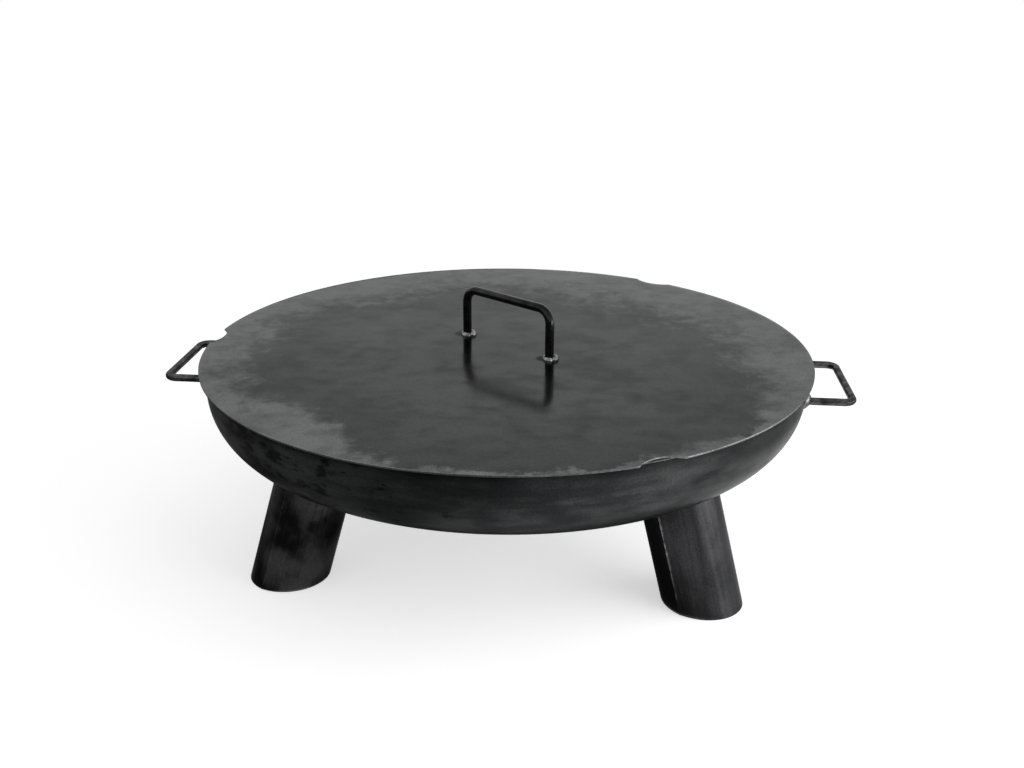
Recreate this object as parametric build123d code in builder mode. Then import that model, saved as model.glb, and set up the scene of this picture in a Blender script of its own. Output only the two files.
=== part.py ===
from build123d import *
import os
from math import asin, cos, degrees, radians, sin, sqrt

# A raw steel fire bowl on three splayed tube legs, with a flat lid and a loose fire grate inside.
# Millimetres and degrees. The origin is on the floor below the middle of the bowl, +Z is up,
# and the two bowl handles lie along X.

# Dished bowl
bowl_diameter = 800.0
bowl_wall = 3.0
crown_radius = 800.0
knuckle_radius = 80.0
flange_height = 23.0
ground_clearance = 100.0

# Legs
leg_diameter = 101.6
leg_wall = 3.0
leg_splay = 17.0
leg_inset = 84.0
leg_turn = 88.6
leg_weld_size = 6.0

# Bowl handles
bar_diameter = 10.0
bend_radius = 13.0
handle_width = 143.0
handle_reach = 55.0
handle_drop = 33.5
handle_weld_size = 6.0

# Lid
lid_overhang = 8.0
lid_thickness = 2.5
notch_radius = 45.0
notch_vent = 0.5
notch_turn = 59.3
lid_bar_diameter = 12.0
lid_bend_radius = 19.0
lid_handle_width = 152.0
lid_handle_height = 67.0
lid_handle_turn = -37.6
lid_weld_size = 5.0

# Fire grate
grate_side_gap = 92.0
grate_ring_bar = 10.0
grate_bar_diameter = 8.0
grate_bar_count = 15
cross_bar_spacing = 240.0
lift_loop_rise = 50.0
lift_loop_bend = 14.0
lift_loop_pitches = 3
grate_seat_clearance = 0.3
cross_bar_clearance = 2.5

# Places and counts
leg_places = ("back", "front_left", "front_right")
left_and_right = {"left": -1, "right": 1}
notch_count = 3
full_turn = 360.0
quarter_turn = 90.0

# The dish: a large crown that runs tangent into the knuckle, and the knuckle into the straight flange
bowl_radius = bowl_diameter / 2
knuckle_centre_radius = bowl_radius - knuckle_radius
crown_angle = degrees(asin(knuckle_centre_radius / (crown_radius - knuckle_radius)))
crown_centre_height = ground_clearance + crown_radius
flange_foot_height = crown_centre_height - (crown_radius - knuckle_radius) * cos(radians(crown_angle))
rim_height = flange_foot_height + flange_height
lid_top_height = rim_height + lid_thickness

# Pieces that take their place from the dish
leg_radius = leg_diameter / 2
leg_foot_radius = bowl_radius - leg_inset
bar_radius = bar_diameter / 2
handle_height = rim_height - handle_drop
lid_radius = bowl_radius + lid_overhang
lid_bar_radius = lid_bar_diameter / 2
notch_depth = lid_overhang + bowl_wall + notch_vent
grate_bar_radius = grate_bar_diameter / 2
grate_ring_radius = bowl_radius - bowl_wall - grate_side_gap - grate_ring_bar / 2
grate_bar_pitch = 2 * grate_ring_radius / (grate_bar_count + 1)


def skin_height(radius, inset):
    """Height of the dish at a radius, on the skin that lies inset within its outer face."""
    crown = crown_radius - inset
    knuckle = knuckle_radius - inset
    if radius <= crown * sin(radians(crown_angle)):
        return crown_centre_height - sqrt(crown**2 - radius**2)
    return flange_foot_height - sqrt(knuckle**2 - (radius - knuckle_centre_radius) ** 2)


def outer_radius_at(height):
    """Outer radius of the bowl's side at a height in the knuckle or the flange."""
    if height >= flange_foot_height:
        return bowl_radius
    return knuckle_centre_radius + sqrt(knuckle_radius**2 - (flange_foot_height - height) ** 2)


def draw_skin(inset):
    """Draw the dish's curve from its lowest point to the top of the knuckle, inset within its outer face."""
    crown = CenterArc((0, crown_centre_height), crown_radius - inset, -quarter_turn, crown_angle)
    knuckle = CenterArc(
        (knuckle_centre_radius, flange_foot_height),
        knuckle_radius - inset,
        crown_angle - quarter_turn,
        quarter_turn - crown_angle,
    )
    return crown, knuckle


def dish_solid(inset):
    """Solid dish filled up to a leg's diameter above the rim, inset within the bowl's outer face."""
    top = rim_height + leg_diameter
    with BuildPart() as dish:
        with BuildSketch(Plane.XZ):
            with BuildLine():
                crown, knuckle = draw_skin(inset)
                Polyline(knuckle @ 1, ((knuckle @ 1).X, top), (0, top), crown @ 0)
            make_face()
        revolve(axis=Axis.Z)
    return dish.part


def bent_bar(plane, corners, radius, bend):
    """Round bar bent along the corners given on a plane."""
    with BuildPart() as bar:
        with BuildLine(plane) as route:
            FilletPolyline(*corners, radius=bend)
        with BuildSketch(Plane(origin=route.line @ 0, z_dir=route.line % 0)):
            Circle(radius)
        sweep()
    return bar.part


def keep(part, name):
    """Label a finished piece and write it under its name."""
    part.label = name
    export_step(part, f"parts/{name}.step")


os.makedirs("parts", exist_ok=True)
bowl_fill = dish_solid(0)

# Bowl
with BuildPart() as fire_bowl:
    with BuildSketch(Plane.XZ):
        with BuildLine():
            outer_crown, outer_knuckle = draw_skin(0)
            inner_crown, inner_knuckle = draw_skin(bowl_wall)
            Line(outer_crown @ 0, inner_crown @ 0)
            Polyline(
                outer_knuckle @ 1,
                (bowl_radius, rim_height),
                (bowl_radius - bowl_wall, rim_height),
                inner_knuckle @ 1,
            )
        make_face()
    revolve(axis=Axis.Z)
keep(fire_bowl.part, "fire_bowl")

# Legs: tubes that lean in towards the bowl, cut by the floor and by the dish, with a bead round the top
weld_skin = dish_solid(-leg_weld_size)
for index, place in enumerate(leg_places):
    angle = leg_turn + index * full_turn / len(leg_places)
    outward = Vector(1, 0, 0).rotate(Axis.Z, angle)
    leg_axis = Vector(0, 0, cos(radians(leg_splay))) - outward * sin(radians(leg_splay))
    foot = Plane(origin=outward * leg_foot_radius, x_dir=outward.cross(leg_axis), z_dir=leg_axis)
    with BuildPart() as leg:
        with BuildSketch(foot.offset(-leg_diameter)):
            Circle(leg_radius)
            Circle(leg_radius - leg_wall, mode=Mode.SUBTRACT)
        extrude(amount=leg_diameter + rim_height)
        split(bisect_by=Plane.XY, keep=Keep.TOP)
        add(bowl_fill, mode=Mode.SUBTRACT)
    keep(leg.part, f"leg_{place}")
    with BuildPart() as leg_weld:
        with BuildSketch(foot):
            Circle(leg_radius + leg_weld_size)
            Circle(leg_radius, mode=Mode.SUBTRACT)
        extrude(amount=rim_height)
        add(weld_skin, mode=Mode.INTERSECT)
        add(bowl_fill, mode=Mode.SUBTRACT)
    keep(leg_weld.part, f"leg_weld_{place}")

# Bowl handles: bars whose ends are cut to the bowl's side, with a bead round each root
handle_root = sqrt(outer_radius_at(handle_height) ** 2 - (handle_width / 2) ** 2)
handle_end = bowl_radius + handle_reach
for side, sign in left_and_right.items():
    level = Plane(origin=(0, 0, handle_height), x_dir=(sign, 0, 0), z_dir=(0, 0, 1))
    corners = (
        (knuckle_centre_radius, handle_width / 2),
        (handle_end, handle_width / 2),
        (handle_end, -handle_width / 2),
        (knuckle_centre_radius, -handle_width / 2),
    )
    raw_handle = bent_bar(level, corners, bar_radius, bend_radius)
    with BuildPart() as bowl_handle:
        add(raw_handle)
        add(bowl_fill, mode=Mode.SUBTRACT)
    keep(bowl_handle.part, f"bowl_handle_{side}")
    for across in (-handle_width / 2, handle_width / 2):
        root = level.from_local_coords(Vector(handle_root, across, 0))
        with BuildPart() as handle_weld:
            with BuildSketch(Plane(origin=root, x_dir=level.x_dir, z_dir=level.z_dir)):
                with BuildLine():
                    Polyline(
                        (-handle_weld_size, bar_radius),
                        (-handle_weld_size, bar_radius + handle_weld_size),
                        (0, bar_radius + handle_weld_size),
                        (handle_weld_size, bar_radius),
                        close=True,
                    )
                make_face()
            revolve(axis=Axis(root, level.x_dir))
            add(bowl_fill, mode=Mode.SUBTRACT)
        end = "front" if root.Y < 0 else "back"
        keep(handle_weld.part, f"bowl_handle_weld_{side}_{end}")

# Lid: a flat plate on the rim, whose notches reach just inside the bowl's wall
with BuildPart() as lid_plate:
    with BuildSketch(Plane.XY.offset(rim_height)):
        Circle(lid_radius)
        with PolarLocations(lid_radius - notch_depth + notch_radius, notch_count, start_angle=notch_turn):
            Circle(notch_radius, mode=Mode.SUBTRACT)
    extrude(amount=lid_thickness)
keep(lid_plate.part, "lid_plate")

along_handle = Vector(1, 0, 0).rotate(Axis.Z, lid_handle_turn)
upright = Plane(origin=(0, 0, lid_top_height), x_dir=along_handle, z_dir=along_handle.cross(Vector(0, 0, 1)))
corners = (
    (-lid_handle_width / 2, 0),
    (-lid_handle_width / 2, lid_handle_height),
    (lid_handle_width / 2, lid_handle_height),
    (lid_handle_width / 2, 0),
)
keep(bent_bar(upright, corners, lid_bar_radius, lid_bend_radius), "lid_handle")

for side, sign in left_and_right.items():
    bar_foot = upright.from_local_coords(Vector(sign * lid_handle_width / 2, 0, 0))
    with BuildPart() as lid_handle_weld:
        with BuildSketch(Plane(origin=bar_foot, x_dir=upright.x_dir, z_dir=upright.z_dir)):
            with BuildLine():
                Polyline(
                    (lid_bar_radius, 0),
                    (lid_bar_radius + lid_weld_size, 0),
                    (lid_bar_radius, lid_weld_size),
                    close=True,
                )
            make_face()
        revolve(axis=Axis(bar_foot, (0, 0, 1)))
    keep(lid_handle_weld.part, f"lid_handle_weld_{side}")

# Grate: a ring that rests on the dish, bars coped into the ring, and cross bars welded under the bars
grate_height = skin_height(grate_ring_radius, bowl_wall + grate_ring_bar / 2 + grate_seat_clearance)
with BuildPart() as grate_ring:
    with Locations((0, 0, grate_height)):
        Torus(grate_ring_radius, grate_ring_bar / 2)
keep(grate_ring.part, "grate_ring")

for number in range(1, grate_bar_count + 1):
    across = number * grate_bar_pitch - grate_ring_radius
    length = 2 * sqrt(grate_ring_radius**2 - across**2)
    with BuildPart() as grate_bar:
        with Locations((0, across, grate_height)):
            Cylinder(grate_bar_radius, length, rotation=(0, quarter_turn, 0))
        add(grate_ring.part, mode=Mode.SUBTRACT)
    keep(grate_bar.part, f"grate_bar_{number:02d}")

cross_bar_height = grate_height - grate_bar_diameter
cross_bar_depth = crown_centre_height - cross_bar_height + grate_bar_radius + cross_bar_clearance
cross_bar_reach = sqrt((crown_radius - bowl_wall) ** 2 - cross_bar_depth**2)
for side, sign in left_and_right.items():
    with BuildPart() as grate_cross_bar:
        with Locations((sign * cross_bar_spacing / 2, 0, cross_bar_height)):
            length = 2 * sqrt(cross_bar_reach**2 - (cross_bar_spacing / 2) ** 2)
            Cylinder(grate_bar_radius, length, rotation=(quarter_turn, 0, 0))
    keep(grate_cross_bar.part, f"grate_cross_bar_{side}")

# Lift loops: hoops that stand on the ring, each leg midway between two bars
loop_half = lift_loop_pitches * grate_bar_pitch / 2
loop_offset = sqrt(grate_ring_radius**2 - loop_half**2)
loop_top = grate_ring_bar / 2 + lift_loop_rise
corners = ((-loop_half, 0), (-loop_half, loop_top), (loop_half, loop_top), (loop_half, 0))
for side, sign in left_and_right.items():
    stand = Plane(origin=(sign * loop_offset, 0, grate_height), x_dir=(0, 1, 0), z_dir=(1, 0, 0))
    raw_loop = bent_bar(stand, corners, grate_bar_radius, lift_loop_bend)
    with BuildPart() as lift_loop:
        add(raw_loop)
        add(grate_ring.part, mode=Mode.SUBTRACT)
    keep(lift_loop.part, f"grate_lift_loop_{side}")
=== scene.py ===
"""Looks of a raw steel fire bowl on three tube legs, with its flat lid and the loose grate inside it.

Lengths are in millimetres and angles in degrees, unless a docstring says otherwise.
"""

import logging
from collections.abc import Callable, Sequence
from dataclasses import dataclass, field
from enum import Enum
from functools import cached_property
from itertools import accumulate
from math import acos, asin, ceil, cos, exp, pi, radians, sin, sqrt, tan

import bmesh
import bpy
from mathutils import Matrix, Vector, noise


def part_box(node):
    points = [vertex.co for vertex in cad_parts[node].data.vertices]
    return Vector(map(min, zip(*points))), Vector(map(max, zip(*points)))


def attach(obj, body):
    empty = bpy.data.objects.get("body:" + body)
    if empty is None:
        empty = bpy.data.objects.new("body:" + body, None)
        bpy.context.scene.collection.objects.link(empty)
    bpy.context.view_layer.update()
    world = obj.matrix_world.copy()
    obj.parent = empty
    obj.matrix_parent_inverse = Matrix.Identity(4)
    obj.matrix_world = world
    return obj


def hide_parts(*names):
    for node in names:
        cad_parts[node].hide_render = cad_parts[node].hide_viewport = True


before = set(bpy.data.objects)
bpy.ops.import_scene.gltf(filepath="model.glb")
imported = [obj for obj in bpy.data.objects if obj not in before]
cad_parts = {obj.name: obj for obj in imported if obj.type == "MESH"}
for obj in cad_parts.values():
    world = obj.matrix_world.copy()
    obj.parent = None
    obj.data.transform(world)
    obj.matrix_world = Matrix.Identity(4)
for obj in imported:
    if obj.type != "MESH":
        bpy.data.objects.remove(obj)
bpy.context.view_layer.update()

Pair = tuple[float, float]
Point = tuple[float, float, float]
Placed = tuple[Vector, Vector]
Ring = list[Vector]
Seat = Callable[[Vector], Vector]
Lump = Callable[[float], float]
Material = bpy.types.Material
Node = bpy.types.Node
Socket = bpy.types.NodeSocket
Tree = bpy.types.NodeTree
log = logging.getLogger("fire_bowl")

MILLIMETRE = 0.001
UP = Vector((0, 0, 1))
FULL_TURN = 2 * pi
SHARP_ANGLE = radians(40)
MERGE_DISTANCE = MILLIMETRE / 1000
STOCK = "stock"
WHITE = "#ffffff"
# Sockets of the Mix node share their names, so they are taken by number.
NUMBER_A, NUMBER_B = 2, 3
COLOUR_A, COLOUR_B, COLOUR_RESULT = 6, 7, 2
# How many finer layers each noise has, and how strong these are.
GRIT_DETAIL, CLOUD_DETAIL, FLAKE_DETAIL, FRAY_DETAIL = 3.0, 5.0, 6.0, 8.0
RAGGED = 0.6


class Body(Enum):
    """The bodies that pieces ride on."""

    BOWL = "bowl"
    GRATE = "grate"
    LID = "lid"


class Slot(Enum):
    """The record's material slots."""

    DISH = "dished_steel"
    SHEET = "sheet_steel"
    TUBE = "tube_steel"
    BAR = "bar_steel"
    WELD = "weld_metal"
    GRATE = "grate_steel"


class Ends(Enum):
    """What closes a skin at its first and last ring."""

    OPEN = "open"
    CAPPED = "capped"
    JOINED = "joined"


class Side(Enum):
    """Left and right along X."""

    LEFT = -1
    RIGHT = 1


def linear(colour: str) -> tuple[float, float, float, float]:
    """Turn an sRGB hex colour into linear red, green, blue and full alpha, by the standard's formula.

    Args:
        colour: Six hex digits after a hash sign.

    Returns:
        The four channels that a colour socket takes.
    """
    shares = [int(colour[at:at + 2], 16) / 255 for at in (1, 3, 5)]
    red, green, blue = [s / 12.92 if s <= 0.04045 else ((s + 0.055) / 1.055) ** 2.4 for s in shares]
    return red, green, blue, 1.0


def per_size(millimetres: float) -> float:
    """Scale of a pattern in metres whose features are this many millimetres wide."""
    return 1 / (millimetres * MILLIMETRE)


def empty_tree(owner: Material | bpy.types.World) -> Tree:
    """Give a material or world an empty node tree.

    Args:
        owner: The material or world.

    Returns:
        Its tree.
    """
    owner.use_nodes = True
    owner.node_tree.nodes.clear()
    return owner.node_tree


def add_node(tree: Tree, kind: str, inputs: dict | None = None, **settings) -> Node:
    """Add a shader node with its settings and its links.

    Args:
        tree: Tree that takes the node.
        kind: The node's type, without its prefix.
        inputs: Value, socket or node for each input, by the input's name or number.
        settings: The node's own attributes.

    Returns:
        The new node. Where a node is given as an input, its first output is linked.
    """
    node = tree.nodes.new("ShaderNode" + kind)
    for name, value in settings.items():
        setattr(node, name, value)
    for key, value in (inputs or {}).items():
        if isinstance(value, Node):
            value = value.outputs[0]
        if isinstance(value, Socket):
            tree.links.new(value, node.inputs[key])
        else:
            node.inputs[key].default_value = value
    return node


def spread(start: float, stop: float, steps: int) -> list[float]:
    """Evenly spaced values from start to stop, both included."""
    return [start + (stop - start) * step / steps for step in range(steps + 1)]


def around(count: int) -> list[float]:
    """Evenly spaced angles of one full turn, in radians."""
    return [FULL_TURN * step / count for step in range(count)]


def direction(angle: float) -> Vector:
    """Level unit direction at an angle from +X, in radians."""
    return Vector((cos(angle), sin(angle), 0))


@dataclass
class Surface:
    """A mesh in the making.

    The stock points say where each point lay on the straight tube or bar before it was placed or bent,
    so that a pattern can run along it.
    """

    points: Ring = field(default_factory=list)
    stock: Ring = field(default_factory=list)
    faces: list[tuple[int, ...]] = field(default_factory=list)
    finishes: list[int] = field(default_factory=list)

    @classmethod
    def swept(cls, rows: Sequence, columns: Sequence, point: Callable[..., Placed], ends: Ends) -> "Surface":
        """Make a skin over a grid of points.

        Args:
            rows: What tells one ring from another.
            columns: What tells the points of a ring apart.
            point: Gives the point at a row and a column, and the same point on the stock.
            ends: What closes the skin at its first and last ring.

        Returns:
            The skin.
        """
        grid = [[point(row, column) for column in columns] for row in rows]
        rings, stock = ([[pair[layer] for pair in line] for line in grid] for layer in (0, 1))
        skin = cls()
        skin.cover(rings, ends, stock)
        return skin

    def cover(self, rings: Sequence[Ring], ends: Ends, stock: Sequence[Ring] | None = None) -> None:
        """Stretch a skin over rings of points.

        Args:
            rings: Rings of one length, or single points for poles.
            ends: What closes the skin at its first and last ring.
            stock: The rings on the straight stock, where they differ from the rings.
        """
        starts = []
        for ring, unbent in zip(rings, stock or rings):
            starts.append(len(self.points))
            self.points.extend(ring)
            self.stock.extend(unbent)
        pairs = [(row, row + 1) for row in range(len(rings) - 1)]
        if ends is Ends.JOINED:
            pairs.append((len(rings) - 1, 0))
        for low, high in pairs:
            count = max(len(rings[low]), len(rings[high]))
            for column in range(count):
                after = (column + 1) % count
                corners = (
                    starts[low] + column % len(rings[low]),
                    starts[low] + after % len(rings[low]),
                    starts[high] + after % len(rings[high]),
                    starts[high] + column % len(rings[high]),
                )
                self.faces.append(tuple(dict.fromkeys(corners)))
        if ends is Ends.CAPPED:
            for row in (0, len(rings) - 1):
                self.faces.append(tuple(range(starts[row], starts[row] + len(rings[row]))))
        self.finishes.extend([0] * (len(self.faces) - len(self.finishes)))

    def repaint(self, finish: int, where: Callable[[Vector], bool]) -> None:
        """Give another finish to the faces whose middle, on the stock, passes a test.

        Args:
            finish: Number of the finish.
            where: Test of a face's middle.
        """
        for number, face in enumerate(self.faces):
            middle = sum((self.stock[corner] for corner in face), Vector()) / len(face)
            if where(middle):
                self.finishes[number] = finish

    def to_mesh(self, name: str) -> bpy.types.Mesh:
        """Make a Blender mesh, in metres.

        Args:
            name: Name of the mesh.

        Returns:
            The mesh with merged seams, outward faces and smooth shading up to sharp edges.
        """
        mesh = bpy.data.meshes.new(name)
        mesh.from_pydata([point * MILLIMETRE for point in self.points], [], self.faces)
        stock = mesh.attributes.new(STOCK, "FLOAT_VECTOR", "POINT")
        stock.data.foreach_set("vector", [value * MILLIMETRE for point in self.stock for value in point])
        mesh.polygons.foreach_set("material_index", self.finishes)
        shape = bmesh.new()
        shape.from_mesh(mesh)
        bmesh.ops.remove_doubles(shape, verts=shape.verts, dist=MERGE_DISTANCE)
        bmesh.ops.recalc_face_normals(shape, faces=shape.faces)
        shape.to_mesh(mesh)
        shape.free()
        mesh.shade_smooth()
        mesh.set_sharp_from_angle(angle=SHARP_ANGLE)
        return mesh


@dataclass(frozen=True)
class RolledSteel:
    """Hot-rolled mild steel that still wears its mill scale.

    To the eye the scale is a softly glossy blue-black skin, clouded where it is thin, streaked the way that
    the steel was rolled or drawn, and pitted where it flaked off. The grit is drawn coarser than the real
    grain of the scale, a millimetre or two wide, because the real one is too fine to show.

    Roughness is given for the pale scale and for the dark. The drawn lengths stretch the streaks.
    """

    name: str
    dark: str
    pale: str
    patch: float
    streak: float
    drawn: Point
    streaky: float = 0.3
    contrast: Pair = (0.35, 0.65)
    roughness: Pair = (0.28, 0.40)
    grazing: str = "#cccccc"
    scar: str = "#0e0e0e"
    scar_share: float = 0.75
    pit: float = 4.0
    pitted: float = 0.0
    pit_edge: Pair = (0.68, 0.82)
    # Pits gather within a radius of this spot. On the bowl the spot is at the left front, so there the pits
    # are both flaked scale and painted shade on that side.
    pit_and_shade_spot: Point = (0.0, 0.0, 0.0)
    pit_and_shade_radius: float = 1000.0
    grit: float = 2.0
    grit_depth: float = 0.05
    grit_share: float = 0.35
    grit_range: Pair = (0.3, 0.7)
    speckle: float = 0.2
    warp: float = 0.0
    warp_width: float = 230.0

    def material(self) -> Material:
        """The finish's material, which is built for the first piece that wears it."""
        return bpy.data.materials.get(self.name) or self.build()

    def build(self) -> Material:
        """Build the material.

        Returns:
            The procedural material.
        """
        material = bpy.data.materials.new(self.name)
        tree = empty_tree(material)
        place = add_node(tree, "Attribute", attribute_name=STOCK).outputs["Vector"]
        tone = self.tone(tree, place)
        grit, waves = (
            add_node(tree, "TexNoise", {"Vector": place, "Scale": per_size(width), "Detail": detail})
            for width, detail in ((self.grit, GRIT_DETAIL), (self.warp_width, 0.0))
        )
        warped = add_node(tree, "Bump", {"Height": waves, "Distance": self.warp * MILLIMETRE})
        bump = add_node(tree, "Bump", {
            "Height": grit, "Strength": self.grit_share, "Distance": self.grit_depth * MILLIMETRE,
            "Normal": warped,
        })
        speckle = add_node(tree, "MapRange", {
            "Value": grit, "From Min": self.grit_range[0], "From Max": self.grit_range[1],
            "To Min": 1 - self.speckle, "To Max": 1 + self.speckle,
        })
        pale_rough, dark_rough = self.roughness
        rough = add_node(tree, "MapRange", {"Value": tone, "To Min": dark_rough, "To Max": pale_rough})
        colour = add_node(tree, "VectorMath", {0: self.colour(tree, place, tone), 1: speckle},
                          operation="MULTIPLY")
        shader = add_node(tree, "BsdfPrincipled", {
            "Base Color": colour, "Metallic": 1.0, "Roughness": rough, "Normal": bump,
            "Specular Tint": linear(self.grazing),
        })
        add_node(tree, "OutputMaterial", {"Surface": shader})
        return material

    def tone(self, tree: Tree, place: Socket) -> Node:
        """Clouds and rolling streaks, from dark at 0 to pale at 1.

        Args:
            tree: Tree that takes the nodes.
            place: Where a point lies on the stock.

        Returns:
            The node that gives the tone.
        """
        along = add_node(tree, "VectorMath", {0: place, 1: tuple(1 / reach for reach in self.drawn)},
                         operation="MULTIPLY")
        clouds, streaks = (
            add_node(tree, "TexNoise", {"Vector": where, "Scale": per_size(width), "Detail": CLOUD_DETAIL})
            for where, width in ((place, self.patch), (along, self.streak))
        )
        both = add_node(tree, "Mix", {0: self.streaky, NUMBER_A: clouds, NUMBER_B: streaks})
        return add_node(tree, "MapRange", {
            "Value": both, "From Min": self.contrast[0], "From Max": self.contrast[1],
        }, interpolation_type="SMOOTHSTEP")

    def colour(self, tree: Tree, place: Socket, tone: Node) -> Socket:
        """Colour of the scale.

        Args:
            tree: Tree that takes the nodes.
            place: Where a point lies on the stock.
            tone: Dark to pale.

        Returns:
            The socket that gives the colour.
        """
        scale = add_node(tree, "Mix", {0: tone, COLOUR_A: linear(self.dark), COLOUR_B: linear(self.pale)},
                         data_type="RGBA").outputs[COLOUR_RESULT]
        if not self.pitted:
            return scale
        along = add_node(tree, "VectorMath", {0: place, 1: tuple(1 / sqrt(reach) for reach in self.drawn)},
                         operation="MULTIPLY")
        flakes = add_node(tree, "TexNoise", {
            "Vector": along, "Scale": per_size(self.pit), "Detail": FLAKE_DETAIL, "Roughness": RAGGED,
        })
        # Pits gather round the spot: flaked scale, and on the bowl's left front painted shade as well.
        bare = add_node(tree, "MapRange", {
            "Value": self.gap(tree, place, self.pit_and_shade_spot), "From Max": self.pit_and_shade_radius * MILLIMETRE,
            "To Min": self.pitted, "To Max": 0.0,
        }, interpolation_type="SMOOTHSTEP")
        both = add_node(tree, "Math", {0: flakes, 1: bare}, operation="ADD")
        flaked = add_node(tree, "MapRange", {
            "Value": both, "From Min": self.pit_edge[0], "From Max": self.pit_edge[1],
            "To Max": self.scar_share,
        }, interpolation_type="SMOOTHSTEP")
        return add_node(tree, "Mix", {0: flaked, COLOUR_A: scale, COLOUR_B: linear(self.scar)},
                        data_type="RGBA").outputs[COLOUR_RESULT]

    def gap(self, tree: Tree, place: Socket, spot: Point) -> Socket:
        """Distance of a point from a spot.

        Args:
            tree: Tree that takes the node.
            place: Where a point lies on the stock.
            spot: The spot.

        Returns:
            The socket that gives the distance, in metres.
        """
        return add_node(tree, "VectorMath", {0: place, 1: Vector(spot) * MILLIMETRE},
                        operation="DISTANCE").outputs["Value"]


@dataclass(frozen=True)
class DishedSteel(RolledSteel):
    """Hot-rolled sheet that was pressed into a dish.

    To the eye it is rolled steel with painted shade in a dark band along the rim, where the lid overhangs
    it.
    """

    # Painted shade under the lid's overhang: a dark band, darkest at the rim.
    rim_shade: str = "#0e0e0e"
    rim_shade_share: float = 0.75
    rim: float = 0.0
    rim_shade_depth: float = 16.0

    def colour(self, tree: Tree, place: Socket, tone: Node) -> Socket:
        """Colour of the scale and of the painted shade along the rim, under the lid.

        Args:
            tree: Tree that takes the nodes.
            place: Where a point lies on the stock.
            tone: Dark to pale.

        Returns:
            The socket that gives the colour.
        """
        # Painted shade under the lid's overhang, fading out downwards from the rim.
        rim_shaded = add_node(tree, "MapRange", {
            "Value": add_node(tree, "SeparateXYZ", {0: place}).outputs["Z"],
            "From Min": (self.rim - self.rim_shade_depth) * MILLIMETRE, "From Max": self.rim * MILLIMETRE,
            "To Max": self.rim_shade_share,
        }, interpolation_type="SMOOTHSTEP")
        return add_node(tree, "Mix", {
            0: rim_shaded, COLOUR_A: RolledSteel.colour(self, tree, place, tone), COLOUR_B: linear(self.rim_shade),
        }, data_type="RGBA").outputs[COLOUR_RESULT]


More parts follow.
